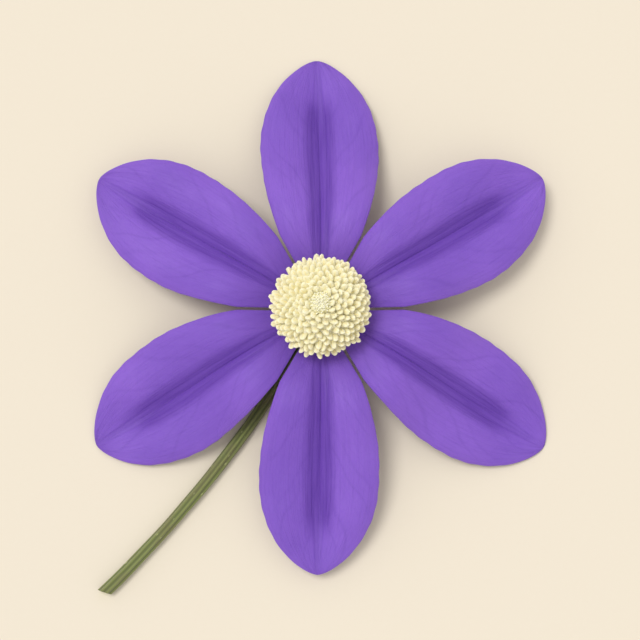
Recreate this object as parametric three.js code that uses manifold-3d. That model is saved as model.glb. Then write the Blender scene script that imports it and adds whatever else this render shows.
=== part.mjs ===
// A single clematis flower, as picked: six violet sepals round a cream boss of stamens, on a ribbed
// stalk that bends under the flower. It lies face up. The tips of three sepals and the stalk touch
// the surface, which is the plane z = 0. Millimetres, +Z up, the viewer's side is -Y.

import * as THREE from "three";
import { mergeVertices } from "three/addons/utils/BufferGeometryUtils.js";
import Module from "manifold-3d";

const wasm = await Module();
wasm.setup();

// Where the flower's axis stands, so that the middle of the whole footprint is at the origin.
const axisAt = { x: 0.15, y: 2.2 };

const flowerRadius = 60;
const clearance = 0.35; // between pieces that touch on the real flower

const stalk = {
  ribRadius: 1.45, // out to the top of a rib
  grooveRadius: 1.2,
  ribs: 7,
  bendRadius: 5,
  axisHeight: 1.2, // less than the rib's radius, so that it lies on a flat strip
  heading: THREE.MathUtils.degToRad(240),
  run: 76, // along the surface, from the bend to the cut
  sideways: 11, // how far the cut end has curved off the heading
  steps: 52,
  cutSlant: THREE.MathUtils.degToRad(28),
};

// The swollen end of the stalk, which carries everything else.
const receptacle = { radius: 3.6, flareFrom: 6.4, rimFrom: 9.2, top: 11.2, segments: 24 };

const sepalShape = {
  root: receptacle.radius + clearance, // distance of the inner end from the axis
  rootHeight: receptacle.top - 0.9, // of the middle of the blade
  width: 21.6, // scales the outline: 27 mm across at the widest
  middleThickness: 1.0,
  edgeThickness: 0.7,
  flatDepth: 0.2, // cut from the underside of a tip that rests on the surface
  archHeight: 1.6, // how far the blade rises before it comes down
  channelDepth: 3.0, // from the groove along the middle up to the crests beside it
  crestAt: 0.62, // share of the half width
  edgeRoll: 0.5, // share of the channel's depth that the margin rolls back down
  waveHeight: 0.6,
  rows: 15,
  columns: 10,
};

// One for each sepal, anticlockwise from the far one. A tip at 0 lies on the surface.
const sepals = [
  { angle: 90, tip: 0, sway: 0.9, twist: 3, waves: 2.6, phase: 0.4 },
  { angle: 150, tip: 4.2, sway: -1.2, twist: -5, waves: 3.1, phase: 1.9 },
  { angle: 210, tip: 0, sway: 0.6, twist: -3, waves: 2.8, phase: 3.1 },
  { angle: 270, tip: 3.2, sway: -0.7, twist: 4, waves: 2.5, phase: 4.6 },
  { angle: 330, tip: 0, sway: -1.0, twist: 3, waves: 3.2, phase: 5.5 },
  { angle: 30, tip: 5.0, sway: 1.1, twist: 5, waves: 2.7, phase: 0.9 },
];

const boss = {
  centreHeight: receptacle.top + 2.9, // of the dome that the anthers lie on
  domeRadius: 11, // to the middle of an anther
  stamens: 68,
  nearestAngle: THREE.MathUtils.degToRad(20), // from the axis, for the innermost stamen
  furthestAngle: THREE.MathUtils.degToRad(86),
  incurve: 1.25, // how far the outermost anthers bend back over towards the axis
  antherLength: 4.9,
  antherWidth: 2,
  filamentRadius: 0.5,
  jitter: 0.5,
  coreHole: 2.75,
  coreRadius: 6.8,
  coreBottom: receptacle.top + clearance,
  coreHeight: 4.6,
};

const tuft = {
  foot: receptacle.top + clearance,
  headRadius: 2.2,
  headHeight: 2.6,
  styles: 15,
  rootRadius: 0.42,
  tipRadius: 0.26,
  spread: 1.9, // distance of the outer tips from the axis
  top: receptacle.top + 15,
};

const looks = {
  sepal: { color: 0x8c61c9, roughness: 0.6 },
  stamens: { color: 0xfaf0b6, roughness: 0.7 },
  styles: { color: 0xe6e3a0, roughness: 0.7 },
  stalk: { color: 0x7a8142, roughness: 0.65 },
};

const goldenAngle = Math.PI * (3 - Math.sqrt(5));
const up = new THREE.Vector3(0, 0, 1);
const { lerp, smoothstep, smootherstep, degToRad } = THREE.MathUtils;

// A repeatable draw between -1 and 1.
function makeDraw(seed) {
  let state = seed;
  return () => {
    state = (state * 1664525 + 1013904223) % 4294967296;
    return (state / 4294967296) * 2 - 1;
  };
}

// A closed geometry as a solid that can be joined and cut.
function toSolid(geometry) {
  const bare = geometry.clone();
  bare.deleteAttribute("normal");
  bare.deleteAttribute("uv");
  const merged = mergeVertices(bare, 1e-4);
  return new wasm.Manifold(
    new wasm.Mesh({
      numProp: 3,
      vertProperties: new Float32Array(merged.attributes.position.array),
      triVerts: new Uint32Array(merged.index.array),
    }),
  );
}

function toGeometry(solid) {
  const mesh = solid.getMesh();
  const geometry = new THREE.BufferGeometry();
  geometry.setAttribute("position", new THREE.BufferAttribute(mesh.vertProperties, 3));
  geometry.setIndex(new THREE.BufferAttribute(mesh.triVerts, 1));
  geometry.computeVertexNormals();
  return geometry;
}

// The solid turned round the axis from a closed outline of [radius, height] points.
function turned(outline, segments) {
  const points = outline.map(([radius, height]) => new THREE.Vector2(radius, height));
  return new THREE.LatheGeometry(points, segments).rotateX(Math.PI / 2);
}

// What lies below the surface, to cut the flat spots that the flower rests on.
function belowSurface() {
  const size = 400;
  return toSolid(new THREE.BoxGeometry(size, size, size).translate(0, 0, -size / 2));
}

// Half of a sepal's width at t, which runs from 0 at its root to 1 at its tip. Near the axis the
// sepals meet edge to edge, so each one fills its own sixth of the circle there.
function sepalHalfWidth(t) {
  const distance = lerp(sepalShape.root, flowerRadius, t);
  const free = sepalShape.width * (t + 0.02) ** 0.6 * (1 - t ** 3) ** 0.7;
  const sixth = distance * Math.tan(Math.PI / 6) - clearance;
  return Math.min(free, sixth);
}

// Height of the sepal's middle line. It leaves the receptacle level, arches over and comes down.
function sepalMidHeight(t, tip) {
  const restHeight = sepalShape.edgeThickness / 2 - sepalShape.flatDepth;
  const fall = smootherstep(t, 0.06, 1);
  const arch = sepalShape.archHeight * Math.sin(Math.PI * Math.min(1, t / 0.6)) ** 2;
  return lerp(sepalShape.rootHeight, tip + restHeight, fall) + arch;
}

// A sharp groove along the middle, a crest on each side of it, and a margin that rolls down again.
// It opens beyond the boss and closes towards the tip.
function sepalChannel(t, across) {
  const { crestAt, edgeRoll, channelDepth } = sepalShape;
  const a = Math.abs(across);
  const inside = 1 - (1 - Math.min(a, crestAt) / crestAt) ** 2;
  const roll = edgeRoll * (Math.max(0, a - crestAt) / (1 - crestAt)) ** 2;
  const opens = smoothstep(t, 0.05, 0.36);
  const closes = 1 - 0.85 * smoothstep(t, 0.72, 1);
  return channelDepth * opens * closes * (inside - roll);
}

// A point on the middle surface of the blade, with x outwards from the flower's axis.
function sepalPoint(sepal, t, across) {
  const half = sepalHalfWidth(t) * across;
  const free = smoothstep(t, 0.2, 0.6); // 0 where the neighbours are close, 1 beyond them
  const level = 1 - t ** 4; // 0 at the tip, so that it can lie flat
  const shift = across < 0 ? 2.1 : 0;
  const wave = Math.sin(2 * Math.PI * sepal.waves * t + sepal.phase + shift);
  const ruffle = sepalShape.waveHeight * wave * Math.abs(across) ** 3;
  const lift = sepalChannel(t, across) + ruffle * free * level;
  const twist = degToRad(sepal.twist) * free * level;
  return new THREE.Vector3(
    lerp(sepalShape.root, flowerRadius, t),
    half * Math.cos(twist) - lift * Math.sin(twist) + sepal.sway * t ** 2 * free,
    sepalMidHeight(t, sepal.tip) + half * Math.sin(twist) + lift * Math.cos(twist),
  );
}

function sepalNormal(sepal, t, across) {
  const step = 0.01;
  const at = Math.min(t, 1 - 2 * step);
  const along = sepalPoint(sepal, at + step, across).sub(sepalPoint(sepal, at - step, across));
  const over = sepalPoint(sepal, at, across + step).sub(sepalPoint(sepal, at, across - step));
  return along.cross(over).normalize();
}

// The points of one face of the blade, row by row, with the tip last.
function sepalFace(sepal, side) {
  const { rows, columns, middleThickness, edgeThickness } = sepalShape;
  const places = [];
  for (let row = 0; row <= rows; row++) {
    const t = 1 - (1 - row / (rows + 1)) ** 1.4; // rows closer together towards the tip
    for (let column = 0; column <= columns; column++) places.push([t, (2 * column) / columns - 1]);
  }
  places.push([1, 0]);
  return places.map(([t, across]) => {
    const thickness = lerp(middleThickness, edgeThickness, Math.max(Math.abs(across), t ** 2));
    const offset = sepalNormal(sepal, t, across).multiplyScalar((side * thickness) / 2);
    return sepalPoint(sepal, t, across).add(offset);
  });
}

// A closed blade: a face above, the same face below with the same triangles, and a wall round the
// rim between them.
function sepalGeometry(sepal) {
  const { rows, columns } = sepalShape;
  const at = (row, column) => row * (columns + 1) + column;
  const tip = at(rows + 1, 0);
  const face = [];
  for (let row = 0; row < rows; row++) {
    for (let column = 0; column < columns; column++) {
      const [a, b] = [at(row, column), at(row + 1, column)];
      const [c, d] = [at(row + 1, column + 1), at(row, column + 1)];
      face.push(column < columns / 2 ? [a, b, c, a, c, d] : [a, b, d, b, c, d]);
    }
  }
  for (let column = 0; column < columns; column++) {
    face.push([at(rows, column), tip, at(rows, column + 1)]);
  }
  const rim = [];
  for (let column = columns; column >= 0; column--) rim.push(at(0, column));
  for (let row = 1; row <= rows; row++) rim.push(at(row, 0));
  rim.push(tip);
  for (let row = rows; row >= 1; row--) rim.push(at(row, columns));

  const points = [...sepalFace(sepal, 1), ...sepalFace(sepal, -1)];
  const below = tip + 1; // how much further on in the list the point underneath is
  const upper = face.flat();
  const lower = upper.map((i) => i + below).reverse();
  const wall = rim.flatMap((from, i) => {
    const to = rim[(i + 1) % rim.length];
    return [from + below, to + below, to, from + below, to, from];
  });
  const geometry = new THREE.BufferGeometry().setFromPoints(points);
  geometry.setIndex([...upper, ...lower, ...wall]);
  return geometry;
}

// A straight bar from one point to another.
function bar(from, to, footRadius, endRadius, sides) {
  const along = new THREE.Vector3().subVectors(to, from);
  const geometry = new THREE.CylinderGeometry(endRadius, footRadius, along.length(), sides);
  const cylinderAxis = new THREE.Vector3(0, 1, 0);
  geometry.applyQuaternion(new THREE.Quaternion().setFromUnitVectors(cylinderAxis, along.normalize()));
  return geometry.translate(...from.clone().lerp(to, 0.5).toArray());
}

// An anther is a long oval with its length along the direction given.
function anther(middle, direction) {
  const { antherLength, antherWidth } = boss;
  const geometry = new THREE.SphereGeometry(0.5, 6, 4).scale(antherWidth, antherLength, antherWidth);
  const sphereAxis = new THREE.Vector3(0, 1, 0);
  geometry.applyQuaternion(new THREE.Quaternion().setFromUnitVectors(sphereAxis, direction));
  return geometry.translate(...middle.toArray());
}

// A ring round the tuft of styles, which the filaments grow from.
function bossCore() {
  const { coreHole, coreRadius, coreBottom, coreHeight } = boss;
  const outline = [
    [coreHole, coreBottom],
    [coreRadius * 0.86, coreBottom],
    [coreRadius, coreBottom + coreHeight * 0.3],
    [coreRadius * 0.9, coreBottom + coreHeight * 0.72],
    [coreRadius * 0.62, coreBottom + coreHeight],
    [coreHole, coreBottom + coreHeight],
    [coreHole, coreBottom],
  ];
  return turned(outline, 20);
}

// Stamens at even steps over a dome, by the golden angle. The outer ones curve in over the core.
function stamensGeometry() {
  const draw = makeDraw(7);
  const pieces = [toSolid(bossCore())];
  const nearest = Math.cos(boss.nearestAngle);
  const furthest = Math.cos(boss.furthestAngle);
  for (let i = 0; i < boss.stamens; i++) {
    const share = (i + 0.5) / boss.stamens; // 0 at the middle of the boss, 1 at its foot
    const fromAxis = Math.acos(lerp(nearest, furthest, share));
    const round = i * goldenAngle;
    const outwards = new THREE.Vector3(Math.cos(round), Math.sin(round), 0);
    const radial = outwards.clone().multiplyScalar(Math.sin(fromAxis));
    radial.addScaledVector(up, Math.cos(fromAxis));
    const overDome = outwards.clone().multiplyScalar(-Math.cos(fromAxis));
    overDome.addScaledVector(up, Math.sin(fromAxis));
    const direction = radial.clone().addScaledVector(overDome, boss.incurve * share).normalize();

    const inset = 0.3 * boss.antherLength * (1 - share) - boss.jitter * share * draw();
    const middle = radial.clone().multiplyScalar(boss.domeRadius - inset);
    middle.z += boss.centreHeight;
    const foot = outwards.clone().multiplyScalar(lerp(3.7, 5.8, share));
    foot.z = boss.coreBottom + boss.coreHeight * lerp(0.75, 0.4, share);
    const neck = middle.clone().addScaledVector(direction, -0.3 * boss.antherLength);
    pieces.push(toSolid(bar(foot, neck, boss.filamentRadius, boss.filamentRadius, 4)));
    pieces.push(toSolid(anther(middle, direction)));
  }
  return toGeometry(wasm.Manifold.union(pieces));
}

// The seed vessels in the centre, each with its style, grown together at the foot.
function tuftGeometry() {
  const draw = makeDraw(21);
  const { foot, headRadius, headHeight } = tuft;
  const head = turned(
    [
      [0, foot],
      [headRadius * 0.8, foot],
      [headRadius, foot + headHeight * 0.4],
      [headRadius * 0.7, foot + headHeight * 0.8],
      [0, foot + headHeight],
    ],
    12,
  );
  const pieces = [toSolid(head)];
  for (let i = 0; i < tuft.styles; i++) {
    const share = Math.sqrt((i + 0.5) / tuft.styles);
    const round = i * goldenAngle;
    const outwards = new THREE.Vector3(Math.cos(round), Math.sin(round), 0);
    const from = outwards.clone().multiplyScalar(share * headRadius * 0.62);
    from.z = foot + headHeight * 0.45;
    const to = outwards.clone().multiplyScalar(share * tuft.spread);
    to.z = tuft.top - 1.1 * share + 0.3 * draw();
    pieces.push(toSolid(bar(from, to, tuft.rootRadius, tuft.tipRadius, 5)));
  }
  return toGeometry(wasm.Manifold.union(pieces));
}

// The line along the middle of the stalk: down from the receptacle, round the bend, then along the
// surface in a shallow curve.
function stalkPath() {
  const { bendRadius, axisHeight, heading, run, sideways } = stalk;
  const out = new THREE.Vector3(Math.cos(heading), Math.sin(heading), 0);
  const side = new THREE.Vector3(Math.sin(heading), -Math.cos(heading), 0);
  const bendTop = axisHeight + bendRadius;
  const points = [new THREE.Vector3(0, 0, receptacle.rimFrom), new THREE.Vector3(0, 0, bendTop + 1.4)];
  const bendSteps = 6;
  for (let i = 0; i <= bendSteps; i++) {
    const turn = (Math.PI / 2) * (i / bendSteps);
    const point = out.clone().multiplyScalar(bendRadius * (1 - Math.cos(turn)));
    point.z = bendTop - bendRadius * Math.sin(turn);
    points.push(point);
  }
  const runSteps = 8;
  for (let i = 1; i <= runSteps; i++) {
    const share = i / runSteps;
    const point = out.clone().multiplyScalar(bendRadius + run * share);
    point.addScaledVector(side, sideways * share ** 2);
    point.z = axisHeight;
    points.push(point);
  }
  return new THREE.CatmullRomCurve3(points);
}

// The section of the stalk, with a shallow rib for each of the strands that run up it.
function stalkSection() {
  const { ribRadius, grooveRadius, ribs } = stalk;
  const points = [];
  for (let i = 0; i < 2 * ribs; i++) {
    const round = (Math.PI * i) / ribs;
    const radius = i % 2 ? grooveRadius : ribRadius;
    points.push(new THREE.Vector2(radius * Math.cos(round), radius * Math.sin(round)));
  }
  return new THREE.Shape(points);
}

function receptacleGeometry() {
  const { radius, flareFrom, rimFrom, top, segments } = receptacle;
  const outline = [
    [0, flareFrom],
    [stalk.grooveRadius * 0.9, flareFrom],
    [stalk.ribRadius * 1.15, lerp(flareFrom, rimFrom, 0.4)],
    [radius * 0.78, rimFrom - 0.5],
    [radius, rimFrom],
    [radius, top],
    [0, top],
  ];
  return turned(outline, segments);
}

// A block beyond the cut end, set at the slant of the cut.
function beyondTheCut(path) {
  const size = 30;
  const end = path.getPointAt(1);
  const along = path.getTangentAt(1);
  const block = new THREE.BoxGeometry(size, size, size).translate(size / 2, 0, 0);
  block.rotateZ(Math.atan2(along.y, along.x) + stalk.cutSlant);
  return toSolid(block.translate(end.x - along.x, end.y - along.y, 0));
}

function stalkGeometry() {
  const path = stalkPath();
  const tube = new THREE.ExtrudeGeometry(stalkSection(), {
    steps: stalk.steps,
    bevelEnabled: false,
    extrudePath: path,
  });
  const whole = toSolid(tube).add(toSolid(receptacleGeometry()));
  return toGeometry(whole.subtract(beyondTheCut(path)).subtract(belowSurface()));
}

const flower = new THREE.Group();
flower.position.set(axisAt.x, axisAt.y, 0);

function addPiece(name, geometry, look) {
  const mesh = new THREE.Mesh(geometry, new THREE.MeshStandardMaterial({ ...look, metalness: 0 }));
  mesh.name = name;
  flower.add(mesh);
  return mesh;
}

sepals.forEach((sepal, i) => {
  const blade = toSolid(sepalGeometry(sepal)).subtract(belowSurface());
  const mesh = addPiece(`sepal_${i + 1}`, toGeometry(blade), looks.sepal);
  mesh.rotation.z = degToRad(sepal.angle);
});
addPiece("stamens", stamensGeometry(), looks.stamens);
addPiece("styles", tuftGeometry(), looks.styles);
addPiece("stalk", stalkGeometry(), looks.stalk);

const clematis = new THREE.Group();
clematis.add(flower);

export default clematis;
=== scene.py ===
# A clematis flower, picked and laid face up on a pale surface: six violet sepals, a cream boss of
# stamens with a silky tuft of styles in it, and a ribbed stalk that bends beneath. Metres, +Z up.

import math

import bmesh
import bpy
import numpy as np
from mathutils import Matrix, Vector


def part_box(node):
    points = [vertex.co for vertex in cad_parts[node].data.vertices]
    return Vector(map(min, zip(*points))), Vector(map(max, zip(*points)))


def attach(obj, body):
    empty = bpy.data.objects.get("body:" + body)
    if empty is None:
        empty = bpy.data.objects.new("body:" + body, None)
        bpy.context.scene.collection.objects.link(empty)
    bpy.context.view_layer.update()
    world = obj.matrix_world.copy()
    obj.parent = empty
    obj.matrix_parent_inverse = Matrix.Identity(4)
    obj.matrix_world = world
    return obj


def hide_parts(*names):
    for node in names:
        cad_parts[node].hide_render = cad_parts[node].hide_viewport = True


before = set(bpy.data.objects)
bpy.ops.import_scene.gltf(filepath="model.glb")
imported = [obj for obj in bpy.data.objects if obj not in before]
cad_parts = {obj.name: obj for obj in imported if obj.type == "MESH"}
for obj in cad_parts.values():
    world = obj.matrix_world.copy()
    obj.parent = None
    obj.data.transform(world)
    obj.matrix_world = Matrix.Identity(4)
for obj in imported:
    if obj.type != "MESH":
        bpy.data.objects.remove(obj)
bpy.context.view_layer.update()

mm = 0.001
goldenAngle = math.pi * (3 - math.sqrt(5))
up = np.array([0, 0, 1])

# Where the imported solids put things
stylesLow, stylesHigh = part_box("styles")
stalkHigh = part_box("stalk")[1]
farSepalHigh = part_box("sepal_1")[1]
axisAt = np.array([(stylesLow.x + stylesHigh.x) / 2, (stylesLow.y + stylesHigh.y) / 2, 0])
receptacleTop = stalkHigh.z
flowerRadius = farSepalHigh.y - axisAt[1]
tuftTop = stylesHigh.z
print("frame loaded, flower radius", round(flowerRadius / mm, 2), "mm")


# Curves that the shapes share; they take numpy arrays

def lerp(low, high, share):
    return low + (high - low) * share


def smoothStep(x, low, high):
    share = np.clip((x - low) / (high - low), 0, 1)
    return share**2 * (3 - 2 * share)


def smootherStep(x, low, high):
    share = np.clip((x - low) / (high - low), 0, 1)
    return share**3 * (share * (share * 6 - 15) + 10)


def roundEnds(v, power, bluntness=0.5):
    # 0 at both ends of v and 1 between them. The higher the power, the later it rounds off.
    return np.clip(1 - np.abs(2 * v - 1) ** power, 0, 1) ** bluntness


def unit(vectors):
    return vectors / np.linalg.norm(vectors, axis=-1, keepdims=True)


def directionsAt(around):  # outwards from the axis, and sideways, anticlockwise
    outwards = np.array([math.cos(around), math.sin(around), 0])
    sideways = np.array([-math.sin(around), math.cos(around), 0])
    return outwards, sideways


# Shaders

def paint(red, green, blue):  # a colour as seen on screen, 0 to 255
    linear = [((c / 255 + 0.055) / 1.055) ** 2.4 for c in (red, green, blue)]
    return (*linear, 1)


class Wire:  # the output of a node, on which sums and products add Math nodes
    def __init__(self, shader, socket):
        self.shader = shader
        self.socket = socket

    def maths(self, operation, *values):
        return self.shader.node("ShaderNodeMath", {"operation": operation}, dict(enumerate(values)))

    def __add__(self, other):
        return self.maths("ADD", self, other)

    def __sub__(self, other):
        return self.maths("SUBTRACT", self, other)

    def __rsub__(self, other):
        return self.maths("SUBTRACT", other, self)

    def __mul__(self, other):
        return self.maths("MULTIPLY", self, other)

    def __abs__(self):
        return self.maths("ABSOLUTE", self)

    __radd__ = __add__
    __rmul__ = __mul__

    def step(self, low, high):  # 0 below low, 1 above high, smooth between
        settings = {"interpolation_type": "SMOOTHSTEP"}
        return self.shader.node("ShaderNodeMapRange", settings, {0: self, 1: low, 2: high})


class Shader:  # a material; node() takes a type, its settings and its sockets
    def __init__(self, name):
        self.material = bpy.data.materials.new(name)
        self.material.use_nodes = True
        self.nodes = self.material.node_tree.nodes
        self.links = self.material.node_tree.links
        self.nodes.clear()

    def node(self, kind, settings=None, sockets=None, output=0):
        made = self.nodes.new(kind)
        for name, value in (settings or {}).items():
            setattr(made, name, value)
        for key, value in (sockets or {}).items():
            if isinstance(value, Wire):
                self.links.new(value.socket, made.inputs[key])
            else:
                made.inputs[key].default_value = value
        return Wire(self, made.outputs[output]) if made.outputs else None

    def mix(self, share, first, second):
        sockets = {0: share, 6: first, 7: second}
        return self.node("ShaderNodeMix", {"data_type": "RGBA"}, sockets, output=2)

    def noise(self, vector, scale, detail=2):
        sockets = {"Vector": vector, "Scale": scale, "Detail": detail}
        return self.node("ShaderNodeTexNoise", None, sockets)

    def cells(self, vector, scale=1.0, feature="F1"):
        sockets = {"Vector": vector, "Scale": scale}
        return self.node("ShaderNodeTexVoronoi", {"feature": feature}, sockets)

    def place(self):
        return self.node("ShaderNodeTexCoord", output="Object")

    def uv(self, name):  # the two directions of a piece's own map, each from 0 to 1
        vector = self.node("ShaderNodeUVMap", {"uv_map": name})
        across = self.node("ShaderNodeSeparateXYZ", None, {0: vector}, output="X")
        along = self.node("ShaderNodeSeparateXYZ", None, {0: vector}, output="Y")
        return across, along

    def vector(self, x, y, z=0):
        return self.node("ShaderNodeCombineXYZ", None, {0: x, 1: y, 2: z})

    def onTube(self, across, along, around, length):
        # Where a pattern of so many cells around and along a tube is read, so that it has no seam
        angle = across * (2 * math.pi)
        radius = around / (2 * math.pi)
        x = angle.maths("COSINE", angle) * radius
        y = angle.maths("SINE", angle) * radius
        return self.vector(x, y, along * length)

    def attribute(self, name):
        return self.node("ShaderNodeAttribute", {"attribute_name": name}, output="Fac")

    def finish(self, colour, roughness, relief, reliefDepth, fixed):
        bump = self.node("ShaderNodeBump", None, {"Height": relief, "Distance": reliefDepth})
        sockets = {"Base Color": colour, "Roughness": roughness, "Normal": bump, **fixed}
        surface = self.node("ShaderNodeBsdfPrincipled", None, sockets)
        self.node("ShaderNodeOutputMaterial", None, {"Surface": surface})
        return self.material


# A pair in these is where a pattern fades in, or its number of cells across and along the piece
sepalLook = {
    "lobe": paint(122, 82, 193),
    # lit: a lighter tone, used for random patches and for the painted light at the margin and tip
    "lit": paint(134, 92, 204),
    "groove": paint(97, 57, 165),
    # painted shade: the sepal's foot, under the boss, is painted darker
    "footShade": paint(104, 67, 170),
    "vein": paint(91, 54, 160),
    "back": paint(158, 134, 204),
    "backBar": paint(142, 140, 152),
    "backVein": paint(128, 98, 176),
    "patches": 45,  # cells to the metre, as are the next two
    "backPatches": 60,
    "skinCells": 2600,
    "margin": (0.72, 1),  # share of the half width
    "marginStrength": 0.5,
    "tip": (0.88, 1),  # share of the length, as is the next
    "tipStrength": 0.4,
    "foot": (0.02, 0.3),
    "footShadeStrength": 0.6,
    "barSide": (0.22, 0.4),
    "barEnd": (0.8, 0.95),
    "barStrength": 0.66,
    "backBarSide": (0.08, 0.36),
    "backBarEnd": (0.6, 1),
    "backBarStrength": 0.75,
    "veinStrength": 0.36,
    "backVeinStrength": 0.5,
    "bend": (6, 9),
    "bendBy": 0.09,  # how far the bar and the net stray
    "streaks": (70, 5),
    "streakStrength": 0.14,
    "net": (30, 22),
    "netStray": 0.7,  # along the sepal, against across
    "netThread": 0.09,
    "netStrength": 0.07,
    "down": (240, 60),
    "relief": (-0.4, -0.12, 0.5),  # of the streaks, the net and the skin's cells
    "reliefDepth": 0.12 * mm,
    "downDepth": 0.1 * mm,
}
sepalFlesh = {"IOR": 1.4, "Subsurface Weight": 0.12, "Subsurface Scale": 0.6 * mm}


def sepalFrontMaterial():
    look = sepalLook
    s = Shader("sepal face")
    place = s.place()
    across, along = s.uv("blade")
    fromMiddle = abs(across * 2 - 1)
    patches = s.noise(place, look["patches"], 3).step(0.35, 0.7)
    colour = s.mix(patches, look["lobe"], look["lit"])
    # Painted light: the margin and the tip are painted lighter, as light shines through the thin
    # edge
    margin = fromMiddle.step(*look["margin"]) * look["marginStrength"]
    rim = margin + along.step(*look["tip"]) * look["tipStrength"]
    colour = s.mix(rim, colour, look["lit"])
    # Painted shade: the foot of the sepal, under the boss, is painted darker
    foot = 1 - along.step(*look["foot"])
    colour = s.mix(foot * look["footShadeStrength"], colour, look["footShade"])

    streaksAcross, streaksAlong = look["streaks"]
    streaks = s.noise(s.vector(across * streaksAcross, along * streaksAlong), 1, 3).step(0.4, 0.75)
    bendAcross, bendAlong = look["bend"]
    bend = s.noise(s.vector(across * bendAcross, along * bendAlong), 1) * look["bendBy"]
    bar = 1 - (fromMiddle + bend).step(*look["barSide"])
    bar = bar * (1 - (along + bend).step(*look["barEnd"]))
    streaky = look["barStrength"] + streaks * (1 - look["barStrength"])
    colour = s.mix(bar * streaky, colour, look["groove"])

    netAcross, netAlong = look["net"]
    netPlace = s.vector((across + bend) * netAcross, (along + bend * look["netStray"]) * netAlong)
    threads = 1 - s.cells(netPlace, feature="DISTANCE_TO_EDGE").step(0.0, look["netThread"])
    veins = s.attribute("veins") * look["veinStrength"] + threads * look["netStrength"]
    colour = s.mix(veins, colour, look["vein"])
    colour = s.mix(streaks * look["streakStrength"], colour, look["vein"])
    skin = s.noise(place, look["skinCells"])
    streakHeight, netHeight, skinHeight = look["relief"]
    relief = streaks * streakHeight + threads * netHeight + skin * skinHeight
    fixed = {
        **sepalFlesh,
        "Subsurface Radius": (1, 0.5, 1.2),
        "Sheen Weight": 0.18,
        "Sheen Roughness": 0.4,
        "Sheen Tint": paint(225, 205, 255),
    }
    return s.finish(colour, 0.5 + skin * 0.12, relief, look["reliefDepth"], fixed)


def sepalBackMaterial():
    look = sepalLook
    s = Shader("sepal back")
    across, along = s.uv("blade")
    fromMiddle = abs(across * 2 - 1)
    patches = s.noise(s.place(), look["backPatches"], 3).step(0.3, 0.7)
    colour = s.mix(patches * 0.5, look["back"], look["lobe"])
    bar = (1 - fromMiddle.step(*look["backBarSide"])) * (1 - along.step(*look["backBarEnd"]))
    colour = s.mix(bar * look["backBarStrength"], colour, look["backBar"])
    veins = s.attribute("veins") * look["backVeinStrength"]
    colour = s.mix(veins, colour, look["backVein"])
    downAcross, downAlong = look["down"]
    down = s.noise(s.vector(across * downAcross, along * downAlong), 1)
    fixed = {**sepalFlesh, "Sheen Weight": 0.5, "Sheen Roughness": 0.5}
    return s.finish(colour, 0.6 + down * 0.15, down, look["downDepth"], fixed)


stamenLook = {
    "filament": paint(255, 252, 236),
    "filamentFoot": paint(254, 249, 220),
    "anther": paint(255, 248, 204),
    "pollen": paint(255, 252, 222),
    "seam": paint(252, 231, 166),
    "strands": 14,  # on one filament
    "crowdStrands": 260,  # around the crowd of them
    "seamAt": 0.5,  # share of the way from an anther's front to its back
    "seamSide": (0.02, 0.1),
    "seamStart": (0.02, 0.12),
    "seamEnd": (0.86, 0.98),
    "seamStrength": 0.7,
    "grains": 4600,  # cells to the metre
    "grainStrength": 0.6,
    "patches": 300,
    "patchStrength": 0.5,
}
styleLook = {
    "foot": paint(238, 236, 178),
    "thread": paint(252, 249, 214),
    "tip": paint(255, 254, 238),
    "silk": (20, 6),  # around and along
}
threadRelief = 0.05 * mm

# Light goes some way into the thin threads, so that they glow between each other
threadFlesh = {
    "IOR": 1.4,
    "Subsurface Weight": 0.15,
    "Subsurface Scale": 1.6 * mm,
    "Subsurface Radius": (1, 0.94, 0.75),
    "Sheen Weight": 0.8,
    "Sheen Roughness": 0.7,
    "Sheen Tint": paint(255, 250, 225),
}


def filamentMaterial(name, strandCount):
    s = Shader(name)
    across, along = s.uv("thread")
    colour = s.mix(along.step(0, 0.6), stamenLook["filamentFoot"], stamenLook["filament"])
    strands = s.noise(s.onTube(across, along, strandCount, 2), 1)
    return s.finish(colour, 0.5 + strands * 0.1, strands, threadRelief, threadFlesh)


def antherMaterial():
    look = stamenLook
    s = Shader("anther")
    place = s.place()
    across, along = s.uv("thread")
    seam = 1 - abs(abs(across * 2 - 1) - look["seamAt"]).step(*look["seamSide"])
    seam = seam * along.step(*look["seamStart"]) * (1 - along.step(*look["seamEnd"]))
    grains = 1 - s.cells(place, look["grains"]).step(0.1, 0.75)
    patches = s.noise(place, look["patches"], 1).step(0.3, 0.7)
    colour = s.mix(patches * look["patchStrength"], look["anther"], look["pollen"])
    colour = s.mix(grains * look["grainStrength"], colour, look["pollen"])
    colour = s.mix(seam * look["seamStrength"], colour, look["seam"])
    return s.finish(colour, 0.75, grains, threadRelief, threadFlesh)


def styleMaterial():
    s = Shader("style")
    across, along = s.uv("thread")
    colour = s.mix(along.step(0, 0.55), styleLook["foot"], styleLook["thread"])
    colour = s.mix(along.step(0.85, 0.98), colour, styleLook["tip"])
    silk = s.noise(s.onTube(across, along, *styleLook["silk"]), 1)
    return s.finish(colour, 0.45 + silk * 0.15, silk, threadRelief, threadFlesh)


stalkLook = {
    # rib and hollow: the stalk is painted lighter on its ribs and darker in the hollows between
    # them, as painted light and shade
    "rib": paint(124, 134, 70),
    "hollow": paint(88, 98, 46),
    "flush": paint(116, 92, 74),
    "rind": paint(126, 140, 70),
    "wood": paint(206, 212, 150),
    "pith": paint(236, 238, 206),
    "patches": (3, 14),  # cells around and along, as are the next two
    "fibres": (60, 30),
    "specks": (7, 34),
    "speckSize": (0.06, 0.16),
    "speckStrength": 0.4,
    "neck": (0.05, 0.3),  # shares of the length between which the flush under the flower fades
    "neckStrength": 0.5,
    "patchStrength": 0.3,
    "pores": 4200,  # cells to the metre
    "reliefDepth": 0.1 * mm,
    "poreDepth": 0.03 * mm,
}


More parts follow.
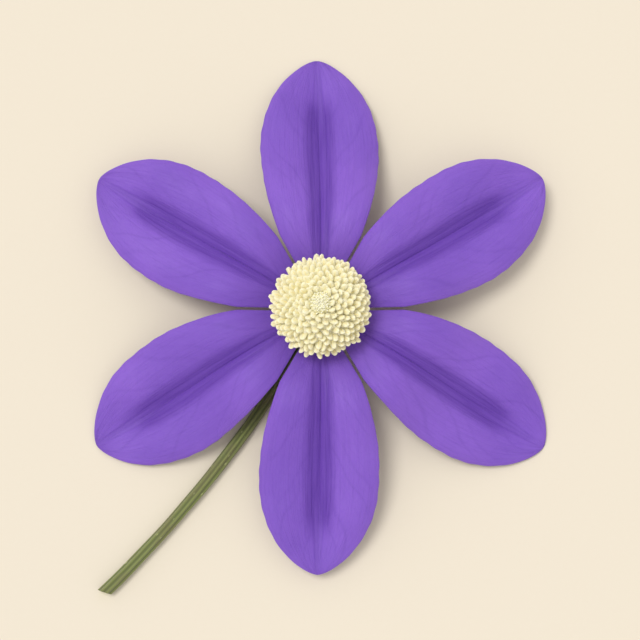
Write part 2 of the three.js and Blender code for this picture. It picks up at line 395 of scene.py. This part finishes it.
def stalkMaterial():
    look = stalkLook
    s = Shader("stalk skin")
    across, along = s.uv("skin")
    patches = s.noise(s.onTube(across, along, *look["patches"]), 1, 3).step(0.4, 0.7)
    # Painted shade and light: darker in the hollows between the ribs, lighter on the ribs
    colour = s.mix(s.attribute("ribs"), look["hollow"], look["rib"])
    neck = 1 - along.step(*look["neck"])
    flush = neck * look["neckStrength"] + patches * look["patchStrength"]
    colour = s.mix(flush, colour, look["flush"])
    fibres = s.noise(s.onTube(across, along, *look["fibres"]), 1, 3)
    specks = 1 - s.cells(s.onTube(across, along, *look["specks"])).step(*look["speckSize"])
    colour = s.mix(specks * look["speckStrength"], colour, look["wood"])
    relief = fibres + specks * 0.5
    fixed = {"IOR": 1.45, "Sheen Weight": 0.35, "Sheen Roughness": 0.5}
    return s.finish(colour, 0.45 + fibres * 0.2, relief, look["reliefDepth"], fixed)


def cutMaterial(name, colour, mottle):
    s = Shader(name)
    pores = s.noise(s.place(), stalkLook["pores"]).step(0.3, 0.8)
    colour = s.mix(pores * 0.5, stalkLook[colour], stalkLook[mottle])
    return s.finish(colour, 0.6, pores, stalkLook["poreDepth"], {"IOR": 1.4})


# Meshes

weldDistance = 0.002 * mm
smallestEdge = 0.001 * mm


def gridPart(bm, columns, rows, shape, uvName, slotIndex=0):
    # A grid whose points go where shape(u, v) puts them, with u and v from 0 to 1. Points that
    # land on each other become one in finishPiece.
    uvLayer = bm.loops.layers.uv.get(uvName) or bm.loops.layers.uv.new(uvName)
    made = bmesh.ops.create_grid(bm, x_segments=columns, y_segments=rows, size=1)["verts"]
    u = np.array([(v.co.x + 1) / 2 for v in made])
    v = np.array([(v.co.y + 1) / 2 for v in made])
    number = {vert: i for i, vert in enumerate(made)}
    faces = {face for vert in made for face in vert.link_faces}
    for face in faces:
        face.smooth = True
        face.material_index = slotIndex
        for loop in face.loops:
            i = number[loop.vert]
            loop[uvLayer].uv = (u[i], v[i])
    for vert, point in zip(made, shape(u, v)):
        vert.co = point
    return made


def finishPiece(bm, name, materials, node):
    bmesh.ops.remove_doubles(bm, verts=bm.verts, dist=weldDistance)
    bmesh.ops.dissolve_degenerate(bm, edges=bm.edges, dist=smallestEdge)
    bmesh.ops.recalc_face_normals(bm, faces=bm.faces)
    mesh = bpy.data.meshes.new(name)
    bm.to_mesh(mesh)
    bm.free()
    for material in materials:
        mesh.materials.append(material)
    piece = bpy.data.objects.new(name, mesh)
    bpy.context.scene.collection.objects.link(piece)
    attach(piece, "root")
    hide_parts(node)


# Sepals. Here t is the share of the length, from 0 at the root, and a the share of the half
# width, from -1 to 1.

blade = {
    "root": 3.5 * mm,  # just inside the receptacle's rim
    "rootHeight": receptacleTop - 0.9 * mm,
    "shapeRoot": 3.95 * mm,  # where the outline starts from
    "width": 21.6 * mm,
    "rootPower": 0.6,  # the smaller the two powers, the fuller that end of the outline
    "rootOffset": 0.02,  # t, so that it isn't a point at the root
    "tipPower": 0.7,
    "gap": 0.35 * mm,
    "middleThickness": 0.95 * mm,
    "edgeThickness": 0.55 * mm,
    "edgePower": 16,  # how tightly the margin and the tip are rounded off
    "endPower": 60,
    "rootRounding": 0.008,  # t
    "restHeight": 0.15 * mm,
    "fallFrom": 0.06,  # t, as are the pairs below
    "archHeight": 1.6 * mm,
    "archEnd": 0.6,
    "free": (0.2, 0.6),  # over which it comes free of its neighbours, to sway and wave
    "channelDepth": 3.0 * mm,
    "channelOpens": (0.05, 0.36),
    "channelCloses": (0.72, 1),
    "channelClosing": 0.85,
    "grooveWidens": (0.62, 0.95),
    "grooveWidth": 0.02,  # share of the half width, as is the next
    "grooveTipWidth": 0.16,
    "crestAt": 0.62,
    "edgeRoll": 0.5,
    "pointPower": 80,
    "waveHeight": 0.6 * mm,
    "waveShift": 2.1,  # radians from one margin's waves to the other's
    "nick": 0.009,  # unevenness of the margin, as a share of the width
    "nickWaves": (31, 53),
    "veinDepth": 0.13 * mm,
    "sideVeinDepth": 0.05 * mm,
    "columns": 112,
    "rows": 160,
    "crowdedTip": 1.35,  # power that draws the rows towards the tip
    "crowdedMargin": 0.35,  # how much closer the columns are at the margins
}
vein = {
    "apart": 1.75 * mm,  # from the middle vein to the ones beside it
    "parts": (0, 0.2),  # t over which they part, draw in again, and fade out
    "drawsIn": (0.6, 1),
    "fades": (0.9, 1),
    "drawnIn": 0.75,  # how much of their distance they lose
    "middleWidth": 0.28 * mm,
    "besideWidth": 0.3 * mm,
    "besideStrength": 0.85,
    "sideCount": 10,
    "sideSweep": 0.42,
    "sideThinness": 12,
    "sideStrength": 0.6,
    "sideFrom": (1.4 * mm, 2.6 * mm),  # distance from the middle
    "sideTo": (0.7, 1),  # share of the half width
    "leftShift": 0.37,  # so that the two halves' side veins don't meet
}

# Anticlockwise from the far one. A tip at 0 lies on the surface.
sepals = [
    {"angle": 90, "tip": 0, "sway": 0.9, "twist": 3, "waves": 2.6, "phase": 0.4},
    {"angle": 150, "tip": 4.2, "sway": -1.2, "twist": -5, "waves": 3.1, "phase": 1.9},
    {"angle": 210, "tip": 0, "sway": 0.6, "twist": -3, "waves": 2.8, "phase": 3.1},
    {"angle": 270, "tip": 3.2, "sway": -0.7, "twist": 4, "waves": 2.5, "phase": 4.6},
    {"angle": 330, "tip": 0, "sway": -1.0, "twist": 3, "waves": 3.2, "phase": 5.5},
    {"angle": 30, "tip": 5.0, "sway": 1.1, "twist": 5, "waves": 2.7, "phase": 0.9},
]


def sepalHalfWidth(t):
    distance = lerp(blade["shapeRoot"], flowerRadius, t)
    inside = np.clip(t, 0, 1)
    free = blade["width"] * (inside + blade["rootOffset"]) ** blade["rootPower"]
    free = free * (1 - inside**3) ** blade["tipPower"]
    sixth = distance * math.tan(math.pi / 6) - blade["gap"]
    return np.minimum(free, sixth)


def sepalMidHeight(t, tip):
    fall = smootherStep(t, blade["fallFrom"], 1)
    arch = blade["archHeight"] * np.sin(np.pi * np.clip(t / blade["archEnd"], 0, 1)) ** 2
    return lerp(blade["rootHeight"], tip + blade["restHeight"], fall) + arch


def sepalChannel(t, a):
    # How far the blade stands above its middle line: a groove between two crests, and a margin
    # that rolls down again
    crestAt = blade["crestAt"]
    soft = blade["grooveWidth"] + blade["grooveTipWidth"] * smoothStep(t, *blade["grooveWidens"])
    a = np.sqrt(a**2 + soft**2) - soft
    inside = 1 - (1 - np.minimum(a, crestAt) / crestAt) ** 2
    roll = blade["edgeRoll"] * (np.maximum(0, a - crestAt) / (1 - crestAt)) ** 2
    opens = smoothStep(t, *blade["channelOpens"])
    closes = 1 - blade["channelClosing"] * smoothStep(t, *blade["channelCloses"])
    point = np.sqrt(np.clip(1 - t ** blade["pointPower"], 0, 1))
    return blade["channelDepth"] * opens * closes * point * (inside - roll)


def sepalPoint(sepal, t, a):
    phase = sepal["phase"]
    free = smoothStep(t, *blade["free"])
    level = 1 - t**4
    margin = np.abs(a) ** 3
    longNick, shortNick = blade["nickWaves"]
    nicks = np.sin(t * longNick + phase * 3 + np.sign(a)) * np.sin(t * shortNick + phase)
    half = sepalHalfWidth(t) * a * (1 + blade["nick"] * free * nicks * margin)
    shift = np.where(a < 0, blade["waveShift"], 0)
    wave = np.sin(2 * np.pi * sepal["waves"] * t + phase + shift)
    lift = sepalChannel(t, a) + blade["waveHeight"] * wave * margin * free * level
    twist = np.radians(sepal["twist"]) * free * level
    x = lerp(blade["shapeRoot"], flowerRadius, t)
    y = half * np.cos(twist) - lift * np.sin(twist) + sepal["sway"] * mm * t**2 * free
    z = sepalMidHeight(t, sepal["tip"] * mm) + half * np.sin(twist) + lift * np.cos(twist)
    return np.stack([x, y, z], axis=-1)


def sepalNormal(sepal, t, a):
    step = 0.01
    at = np.minimum(t, 1 - 2 * step)
    along = sepalPoint(sepal, at + step, a) - sepalPoint(sepal, at - step, a)
    over = sepalPoint(sepal, at, a + step) - sepalPoint(sepal, at, a - step)
    return unit(np.cross(along, over))


def sepalVeins(sepal, t, a):
    # How strongly a vein runs through each point: three main ones, and side veins that leave
    # them and sweep towards the tip
    phase = sepal["phase"]
    fromMiddle = np.abs(a) * sepalHalfWidth(t)
    drawnIn = 1 - vein["drawnIn"] * smoothStep(t, *vein["drawsIn"])
    apart = vein["apart"] * smoothStep(t, *vein["parts"]) * drawnIn
    middle = np.exp(-((fromMiddle / vein["middleWidth"]) ** 2))
    fromBeside = (fromMiddle - apart) / vein["besideWidth"]
    beside = vein["besideStrength"] * np.exp(-(fromBeside**2))
    wobble = 0.012 * np.sin(np.abs(a) * 9 + phase + t * 13)  # here and below, irregularity
    sweep = t - vein["sideSweep"] * np.abs(a) ** 0.8 + wobble
    sweep = sweep * vein["sideCount"] + (a > 0) * vein["leftShift"]
    sweep = sweep + 0.22 * np.sin(sweep * 1.9 + phase)
    uneven = 0.55 + 0.45 * np.sin(np.round(sweep) * 2.3 + phase + a * 2)
    side = uneven * (0.5 + 0.5 * np.cos(2 * np.pi * sweep)) ** vein["sideThinness"]
    side = side * smoothStep(fromMiddle, *vein["sideFrom"])
    side = side * (1 - smoothStep(np.abs(a), *vein["sideTo"]))
    main = np.maximum(middle, beside) * (1 - smoothStep(t, *vein["fades"]))
    return main, side * vein["sideStrength"]


def sepalFace(sepal, side):
    # The place of each point of the upper (side 1) or under face (side -1). The strength of its
    # veins and its place on the blade's map are kept for makeSepal.
    turn = math.radians(sepal["angle"])

    def shape(u, v):
        t = 1 - (1 - v) ** blade["crowdedTip"]
        across = 2 * u - 1
        a = across * (1 + blade["crowdedMargin"] - blade["crowdedMargin"] * across**2)
        thinning = np.maximum(np.abs(a), t**2)
        body = lerp(blade["middleThickness"], blade["edgeThickness"], thinning)
        margin = np.clip(1 - np.abs(a) ** blade["edgePower"], 0, 1)
        rounded = np.sqrt(margin * np.clip(1 - t ** blade["endPower"], 0, 1))
        half = body / 2 * rounded * np.sqrt(np.clip(t / blade["rootRounding"], 0, 1))
        main, sideVein = sepalVeins(sepal, t, a)
        sunk = (main * blade["veinDepth"] + sideVein * blade["sideVeinDepth"]) * rounded
        points = sepalPoint(sepal, t, a) + sepalNormal(sepal, t, a) * (side * half - sunk)[:, None]
        points[:, 0] -= (blade["shapeRoot"] - blade["root"]) * (1 - smoothStep(t, 0, 0.1))
        x = points[:, 0] * math.cos(turn) - points[:, 1] * math.sin(turn)
        y = points[:, 0] * math.sin(turn) + points[:, 1] * math.cos(turn)
        z = np.maximum(points[:, 2], 0)
        shape.veins = np.maximum(main, sideVein)
        shape.map = np.stack([(a + 1) / 2, t], axis=-1)
        return np.stack([x, y, z], axis=-1) + axisAt

    return shape


def makeSepal(number, sepal, materials):
    bm = bmesh.new()
    veins = bm.verts.layers.float.new("veins")
    for side, slotIndex in ((1, 0), (-1, 1)):
        shape = sepalFace(sepal, side)
        made = gridPart(bm, blade["columns"], blade["rows"], shape, "blade", slotIndex)
        uvLayer = bm.loops.layers.uv["blade"]
        for vert, strength, place in zip(made, shape.veins, shape.map):
            vert[veins] = strength
            for loop in vert.link_loops:
                loop[uvLayer].uv = place
    finishPiece(bm, f"sepalBlade{number}", materials, f"sepal_{number}")


sepalMaterials = [sepalFrontMaterial(), sepalBackMaterial()]
for number, sepal in enumerate(sepals, start=1):
    makeSepal(number, sepal, sepalMaterials)
print("sepals made")


# Threads: stamens and styles are tubes along a curve

def bezier(points, v):
    a, b, c = points
    v = v[:, None]
    return a * (1 - v) ** 2 + b * 2 * v * (1 - v) + c * v**2


def bezierTangent(points, v):
    a, b, c = points
    v = v[:, None]
    return unit((b - a) * (1 - v) + (c - b) * v + 1e-9)  # never quite 0, so that unit can divide


def threadShape(points, radius, flat=1.0, lobes=0.0, turn=0.0, blunt=0.0):
    # A closed tube: radius(v) along it, flattened by flat, with two lobes where lobes is above 0.
    # Blunt draws its rows towards the ends, for a rounder tip.
    tilt = 0.13  # so that no thread runs exactly along this direction
    sideTo = np.array([math.cos(turn), math.sin(turn), tilt])

    def shape(u, v):
        v = lerp(v, 0.5 - 0.5 * np.cos(np.pi * v), blunt)
        around = 2 * np.pi * u
        tangent = bezierTangent(points, v)
        side = unit(np.cross(tangent, sideTo))
        over = np.cross(side, tangent)
        size = radius(v) * (1 + lobes * np.cos(2 * around))
        width = side * (np.cos(around) * size)[:, None]
        depth = over * (np.sin(around) * size * flat)[:, None]
        return bezier(points, v) + (width + depth) + axisAt

    return shape


crowd = {
    "strand": (48, 0.03),  # how many around, and how far they stand out, as a share
    "crossingStrand": (31, 0.02),
    "crossingTurn": 40,
    "top": (17, 0.03),
    "topFrom": 2 * mm,  # distance from the axis within which the top evens out
}


def crowdShape(section):
    # A crowd of threads too dense to tell apart, turned around the axis from a section
    at, radii, heights = zip(*section)
    strandCount, strandDepth = crowd["strand"]
    crossingCount, crossingDepth = crowd["crossingStrand"]
    topCount, topDepth = crowd["top"]

    def shape(u, v):
        around = 2 * np.pi * u
        crossing = around * crossingCount + crowd["crossingTurn"] * v * (1 - v)
        strands = strandDepth * np.sin(around * strandCount)
        radius = np.interp(v, at, radii) * mm * (1 + strands + crossingDepth * np.sin(crossing))
        fade = np.minimum(radius / crowd["topFrom"], 1)
        uneven = 1 + topDepth * np.sin(around * topCount) * fade
        height = receptacleTop + np.interp(v, at, heights) * mm * uneven
        points = np.stack([np.cos(around) * radius, np.sin(around) * radius, height], axis=-1)
        return points + axisAt

    return shape


boss = {
    "seed": 11,
    "stamens": 230,
    "centreHeight": receptacleTop + 2.9 * mm,
    "domeRadius": 11 * mm,
    "rimRadius": 9.9 * mm,
    "nearestAngle": math.radians(15),
    "furthestAngle": math.radians(86),
    "spread": 1.15,  # above 1, stamens stand closer towards the middle
    "incurve": 0.6,
    "antherLength": 4.9 * mm,
    "antherRange": (0.88, 1.06),
    "antherRadius": 0.86 * mm,
    "antherFlat": 0.72,
    "antherLobes": 0.16,
    "antherBend": (0.02, 0.1),  # share of its length
    "antherBlunt": 0.8,
    "antherGrid": (8, 6),  # faces around and along
    "filamentRadius": 0.45 * mm,
    "filamentFlat": 0.5,
    "filamentGrid": (5, 5),
    "footInner": 2.3 * mm,
    "footOuter": 3.4 * mm,
    "footSunk": 0.1 * mm,
    "neckInside": 0.5 * mm,  # how far a filament goes into its anther
    "elbowAt": 0.55,  # share of the filament
    "elbowOut": 0.8 * mm,
    "elbowDown": 0.4 * mm,
    "middleInset": 0.3,  # share of an anther's length by which the middle ones sit lower
    "unevenness": 0.3 * mm,
    "unevenRange": (-0.4, 1),
    "strayAngle": 0.02,  # radians, as is the next
    "strayAround": 0.03,
    "strayLean": 0.12,
    "strayAside": 0.16,
    "strayTurn": 0.5,
    "crowdGrid": (192, 24),
    "section": (  # of the crowd: share of the way around, distance from the axis, height, mm
        (0, 2.5, 0.1),
        (0.2, 2.3, 11.6),
        (0.26, 2.9, 12.4),
        (0.4, 5.4, 11.2),
        (0.55, 7.9, 8.7),
        (0.65, 8.9, 5.8),
        (0.72, 8.9, 4.0),
        (0.78, 7.9, 2.7),
        (0.9, 4.8, 1.2),
        (1, 2.5, 0.1),
    ),
}


def filamentRadius(v):
    return boss["filamentRadius"] * (1 - 0.3 * v) * roundEnds(v, 20)


def antherRadius(v):
    return boss["antherRadius"] * roundEnds(v, 3.2, 0.55) * (1.05 - 0.25 * v)


def stray(draw, most):
    return draw.uniform(-most, most)


def addStamen(bm, draw, number):
    share = (number + 0.5) / boss["stamens"]  # 0 at the middle of the boss, 1 at its rim
    nearest, furthest = math.cos(boss["nearestAngle"]), math.cos(boss["furthestAngle"])
    fromAxis = math.acos(lerp(nearest, furthest, share ** boss["spread"]))
    fromAxis = fromAxis + stray(draw, boss["strayAngle"])
    around = number * goldenAngle + stray(draw, boss["strayAround"])
    outwards, sideways = directionsAt(around)
    radial = outwards * math.sin(fromAxis) + up * math.cos(fromAxis)
    overDome = up * math.sin(fromAxis) - outwards * math.cos(fromAxis)
    lean = boss["incurve"] * share + stray(draw, boss["strayLean"])
    direction = unit(radial + overDome * lean + sideways * stray(draw, boss["strayAside"]))

    length = boss["antherLength"] * draw.uniform(*boss["antherRange"])
    inset = boss["middleInset"] * length * (1 - share)
    inset = inset + draw.uniform(*boss["unevenRange"]) * boss["unevenness"] * share
    reach = lerp(boss["domeRadius"], boss["rimRadius"], share) - inset
    middle = radial * reach + up * boss["centreHeight"]
    start = middle - direction * length / 2
    end = middle + direction * length / 2
    bend = middle + radial * draw.uniform(*boss["antherBend"]) * length

    foot = outwards * lerp(boss["footInner"], boss["footOuter"], share)
    foot = foot + up * (receptacleTop - boss["footSunk"])
    neck = start + direction * boss["neckInside"]
    elbow = foot + (neck - foot) * boss["elbowAt"]
    elbow = elbow + outwards * boss["elbowOut"] * share - up * boss["elbowDown"] * share
    turn = around + stray(draw, boss["strayTurn"])
    curve = (foot, elbow, neck)
    filament = threadShape(curve, filamentRadius, flat=boss["filamentFlat"], turn=turn)
    gridPart(bm, *boss["filamentGrid"], filament, "thread", 0)
    flat, lobes, blunt = boss["antherFlat"], boss["antherLobes"], boss["antherBlunt"]
    anther = threadShape((start, bend, end), antherRadius, flat, lobes, turn, blunt)
    gridPart(bm, *boss["antherGrid"], anther, "thread", 1)


def makeStamens():
    bm = bmesh.new()
    draw = np.random.default_rng(boss["seed"])
    gridPart(bm, *boss["crowdGrid"], crowdShape(boss["section"]), "thread", 2)
    for number in range(boss["stamens"]):
        addStamen(bm, draw, number)
    materials = [
        filamentMaterial("filament", stamenLook["strands"]),
        antherMaterial(),
        filamentMaterial("crowded filaments", stamenLook["crowdStrands"]),
    ]
    finishPiece(bm, "stamenBoss", materials, "stamens")


makeStamens()
print("stamens made")


tuft = {
    "seed": 23,
    "styles": 64,
    "footSpread": 1.6 * mm,
    "footSunk": 0.15 * mm,
    "vesselRadius": 0.5 * mm,
    "vesselLength": 2.4 * mm,
    "vesselFlat": 0.7,
    "vesselLean": 0.15 * mm,
    "vesselGrid": (6, 5),
    "styleRadius": 0.38 * mm,
    "styleBlunt": 0.5,
    "styleGrid": (6, 10),
    "styleOverlap": 0.4 * mm,  # how far a style starts inside its vessel
    "spread": 2.7 * mm,
    "spreadRange": (0.8, 1.1),
    "elbow": [0.25, 0.25, 0.8],  # share of the way from neck to top
    "strayAside": 0.4,  # mm, as are the next three
    "proud": 0.1,
    "crown": 0.8,
    "unevenness": 0.45,
    "crowdGrid": (96, 20),
    "section": (  # as the boss's
        (0, 0, 0),
        (0.1, 1.6, 0.1),
        (0.4, 1.9, 6.0),
        (0.7, 2.5, 11.6),
        (0.8, 2.3, 12.8),
        (0.9, 1.4, 13.5),
        (1, 0, 13.7),
    ),
}


def vesselRadius(v):
    return tuft["vesselRadius"] * roundEnds(v, 2.4, 0.55)


def styleRadius(v):
    return tuft["styleRadius"] * (1 - 0.4 * v) * roundEnds(v, 8)


def addStyle(bm, draw, number):
    share = math.sqrt((number + 0.5) / tuft["styles"])
    around = number * goldenAngle
    outwards, sideways = directionsAt(around)
    foot = outwards * share * tuft["footSpread"] + up * (receptacleTop - tuft["footSunk"])
    neck = foot + up * tuft["vesselLength"] + outwards * tuft["vesselLean"] * share
    top = outwards * share * tuft["spread"] * draw.uniform(*tuft["spreadRange"])
    top = top + sideways * stray(draw, tuft["strayAside"]) * mm
    below = tuft["crown"] * share**2 + draw.uniform(0, tuft["unevenness"]) - tuft["proud"]
    top = top + up * (tuftTop - below * mm)
    elbow = neck + (top - neck) * tuft["elbow"]
    curve = (foot, (foot + neck) / 2, neck)
    vessel = threadShape(curve, vesselRadius, flat=tuft["vesselFlat"], turn=around)
    gridPart(bm, *tuft["vesselGrid"], vessel, "thread", 0)
    curve = (neck - up * tuft["styleOverlap"], elbow, top)
    style = threadShape(curve, styleRadius, turn=around, blunt=tuft["styleBlunt"])
    gridPart(bm, *tuft["styleGrid"], style, "thread", 0)


def makeStyles():
    bm = bmesh.new()
    draw = np.random.default_rng(tuft["seed"])
    gridPart(bm, *tuft["crowdGrid"], crowdShape(tuft["section"]), "thread", 0)
    for number in range(tuft["styles"]):
        addStyle(bm, draw, number)
    finishPiece(bm, "styleTuft", [styleMaterial()], "styles")


makeStyles()
print("styles made")


# Stalk and receptacle. Distances run down the middle line from the receptacle's top.

stalk = {
    "ribRadius": 1.45 * mm,
    "ribDepth": 0.26 * mm,
    "ribs": 7,
    "ribTwist": 1.2,  # radians to and fro
    "ribTwistLength": 19 * mm,
    "swell": ((0.03, 6.1 * mm), (0.02, 2.3 * mm)),  # share of the radius, and over what length
    "bendRadius": 5 * mm,
    "axisHeight": 1.2 * mm,
    "heading": math.radians(240),
    "run": 76 * mm,
    "sideways": 11 * mm,
    "cutSlant": math.radians(28),
    "cutAt": 0.9874,  # share of the run
    "madeTo": 1.04,  # share of the run that is made before the cut
    "rings": ((1, 0.84), (2, 0.5), (3, 0.001)),  # material, and how far in its ring reaches
    "columns": 84,
    "rows": 260,
    "crowdedTop": 1.15,  # power that draws the rows towards the flower
}
receptacle = {
    "radius": 3.6 * mm,
    "ribDepth": 0.03,  # share of the radius
    "flareFrom": 5.2 * mm,  # heights above the surface
    "flareTo": 9.7 * mm,
    "roundOff": 0.7 * mm,
    "roundOffDepth": 0.08,
    "topRows": 0.035,  # share of the rows that cover its top
}
stalkDrop = receptacleTop - stalk["axisHeight"] - stalk["bendRadius"]  # straight down to the bend
stalkBend = stalk["bendRadius"] * math.pi / 2


def stalkLine(distance):
    # The middle of the stalk, its direction and its side at each distance: straight down, around
    # the bend, and along the surface
    heading = stalk["heading"]
    bend = stalk["bendRadius"]
    turned = np.clip((distance - stalkDrop) / bend, 0, math.pi / 2)
    share = np.clip((distance - stalkDrop - stalkBend) / stalk["run"], 0, stalk["madeTo"])
    outward = bend * (1 - np.cos(turned)) + stalk["run"] * share
    sideways = stalk["sideways"] * share**2
    out = np.array([math.cos(heading), math.sin(heading), 0])
    side = np.array([math.sin(heading), -math.cos(heading), 0])
    height = receptacleTop - np.minimum(distance, stalkDrop) - bend * np.sin(turned)
    centre = outward[:, None] * out + sideways[:, None] * side + height[:, None] * up
    slope = 2 * stalk["sideways"] / stalk["run"] * share
    level = unit(out + slope[:, None] * side)
    tangent = level * np.sin(turned)[:, None] - up * np.cos(turned)[:, None]
    return centre, tangent, np.cross(level, up)


def stalkRibs(around, distance):
    # 1 on a rib and 0 in the hollow beside it
    twist = stalk["ribTwist"] * np.sin(distance / stalk["ribTwistLength"])
    return 0.5 + 0.5 * np.cos(stalk["ribs"] * around + twist)


def stalkShape(u, v):
    # The strength of the ribs is kept for makeStalk
    topRows = receptacle["topRows"]
    around = 2 * np.pi * u
    onTop = np.clip(v / topRows, 0, 1)
    whole = stalkDrop + stalkBend + stalk["run"] * stalk["madeTo"]
    distance = whole * np.clip((v - topRows) / (1 - topRows), 0, 1) ** stalk["crowdedTop"]
    centre, tangent, side = stalkLine(distance)
    ribs = stalkRibs(around, distance)
    (longSwell, longLength), (shortSwell, shortLength) = stalk["swell"]
    swell = 1 + longSwell * np.sin(distance / longLength)
    swell = swell + shortSwell * np.sin(distance / shortLength + around)
    body = (stalk["ribRadius"] - stalk["ribDepth"] * (1 - ribs)) * swell
    rim = receptacle["radius"] * (1 - receptacle["ribDepth"] * (1 - ribs))
    edge = 1 - receptacle["roundOffDepth"] * (1 - smoothStep(distance, 0, receptacle["roundOff"]))
    height = receptacleTop - distance
    flare = smoothStep(height, receptacle["flareFrom"], receptacle["flareTo"])
    radius = lerp(body, rim * edge, flare) * np.sin(onTop * np.pi / 2)
    over = np.cross(side, tangent)
    out = side * (np.cos(around) * radius)[:, None] + over * (np.sin(around) * radius)[:, None]
    points = centre + out + axisAt
    points[:, 2] = np.clip(points[:, 2], 0, receptacleTop)
    stalkShape.ribs = np.where(v < topRows, 0.5, ribs)
    return points


def sortParts(parts):
    # The cut's operators leave new edges and faces in an order that changes from run to run
    corners = {part: sorted(vert.index for vert in part.verts) for part in parts}
    order = {part: number for number, part in enumerate(sorted(parts, key=corners.get))}
    parts.sort(key=order.get)


def cutStalk(bm):
    # The slanting cut, and the rings of rind, wood and pith that it shows
    cutAt = stalkDrop + stalkBend + stalk["run"] * stalk["cutAt"]
    centre, tangent, side = stalkLine(np.array([cutAt]))
    middle = Vector(centre[0] + axisAt)
    slant = stalk["cutSlant"]
    facing = Vector(tangent[0] * math.cos(slant) - side[0] * math.sin(slant))
    cut = bmesh.ops.bisect_plane(
        bm,
        geom=[*bm.verts, *bm.edges, *bm.faces],
        plane_co=middle,
        plane_no=facing,
        clear_outer=True,
    )
    rimEdges = [g for g in cut["geom_cut"] if isinstance(g, bmesh.types.BMEdge)]
    for edge in rimEdges:
        edge.smooth = False
    for slotIndex, size in stalk["rings"]:
        ring = bmesh.ops.extrude_edge_only(bm, edges=rimEdges)["geom"]
        verts = [g for g in ring if isinstance(g, bmesh.types.BMVert)]
        rimEdges = [g for g in ring if isinstance(g, bmesh.types.BMEdge)]
        rimEdges = [edge for edge in rimEdges if all(vert in verts for vert in edge.verts)]
        space = Matrix.Translation(-middle)
        bmesh.ops.scale(bm, verts=verts, vec=(size, size, size), space=space)
        for face in [g for g in ring if isinstance(g, bmesh.types.BMFace)]:
            face.material_index = slotIndex
    bm.verts.index_update()
    sortParts(bm.edges)
    sortParts(bm.faces)


def makeStalk():
    bm = bmesh.new()
    ribs = bm.verts.layers.float.new("ribs")
    made = gridPart(bm, stalk["columns"], stalk["rows"], stalkShape, "skin")
    for vert, strength in zip(made, stalkShape.ribs):
        vert[ribs] = strength
    bmesh.ops.remove_doubles(bm, verts=bm.verts, dist=weldDistance)
    cutStalk(bm)
    materials = [
        stalkMaterial(),
        cutMaterial("cut rind", "rind", "hollow"),
        cutMaterial("cut wood", "wood", "rib"),
        cutMaterial("cut pith", "pith", "wood"),
    ]
    finishPiece(bm, "flowerStalk", materials, "stalk")


makeStalk()
print("stalk made")


# Surface, light and camera

studio = {
    "surface": paint(228, 219, 203),
    "surfaceSize": 40.0,
    "surfaceDrop": 0.03 * mm,  # below the flower's flat spots, so that the two don't flicker
    "surfaceGrain": 900,  # cells to the metre
    "surfaceMottle": 0.04,
    "surfaceRoughness": 0.9,
    "surfaceRelief": 0.01 * mm,
    "air": paint(255, 252, 247),
    "airStrength": 0.74,
    "keyPlace": (-0.28, 0.17, 0.78),
    "keySpread": math.radians(26),  # how wide the lamp looks from the flower: soft shadows
    "keyStrength": 1.48,
    "keyColour": (1.0, 0.985, 0.96),
    "elevation": math.radians(84),
    "lens": 105,
    "sensor": 36,
    "frameHeight": 0.146,  # what the view takes in, at the flower
    "aim": (0, 0, 0.008),
}


def makeSurface():
    bm = bmesh.new()
    bmesh.ops.create_grid(bm, x_segments=8, y_segments=8, size=studio["surfaceSize"] / 2)
    bmesh.ops.translate(bm, verts=bm.verts, vec=(0, 0, -studio["surfaceDrop"]))
    mesh = bpy.data.meshes.new("surface")
    bm.to_mesh(mesh)
    bm.free()
    s = Shader("surface")
    grain = s.noise(s.place(), studio["surfaceGrain"], 3)
    colour = s.mix(grain * studio["surfaceMottle"], studio["surface"], studio["air"])
    roughness, relief = studio["surfaceRoughness"], studio["surfaceRelief"]
    material = s.finish(colour, roughness, grain, relief, {"Specular IOR Level": 0.1})
    mesh.materials.append(material)
    surface = bpy.data.objects.new("surface", mesh)
    bpy.context.scene.collection.objects.link(surface)


def lookAt(thing, target):
    away = thing.location - Vector(target)
    thing.rotation_euler = away.to_track_quat("Z", "Y").to_euler()


def makeLight():
    lamp = bpy.data.lights.new("key", "SUN")
    lamp.angle = studio["keySpread"]
    lamp.energy = studio["keyStrength"]
    lamp.color = studio["keyColour"]
    key = bpy.data.objects.new("key", lamp)
    key.location = studio["keyPlace"]
    lookAt(key, studio["aim"])
    bpy.context.scene.collection.objects.link(key)
    world = bpy.data.worlds.new("studio")
    world.use_nodes = True
    sky = world.node_tree.nodes["Background"]
    sky.inputs["Color"].default_value = studio["air"]
    sky.inputs["Strength"].default_value = studio["airStrength"]
    bpy.context.scene.world = world


def makeCamera():
    lens = bpy.data.cameras.new("camera")
    lens.lens = studio["lens"]
    lens.sensor_width = studio["sensor"]
    lens.clip_start = 0.01
    camera = bpy.data.objects.new("camera", lens)
    distance = studio["frameHeight"] * studio["lens"] / studio["sensor"]
    back = Vector((0, -math.cos(studio["elevation"]), math.sin(studio["elevation"])))
    camera.location = Vector(studio["aim"]) + back * distance
    lookAt(camera, studio["aim"])
    bpy.context.scene.collection.objects.link(camera)
    bpy.context.scene.camera = camera


makeSurface()
makeLight()
makeCamera()
bpy.context.scene.view_settings.view_transform = "Standard"
print("surface, light and camera made")
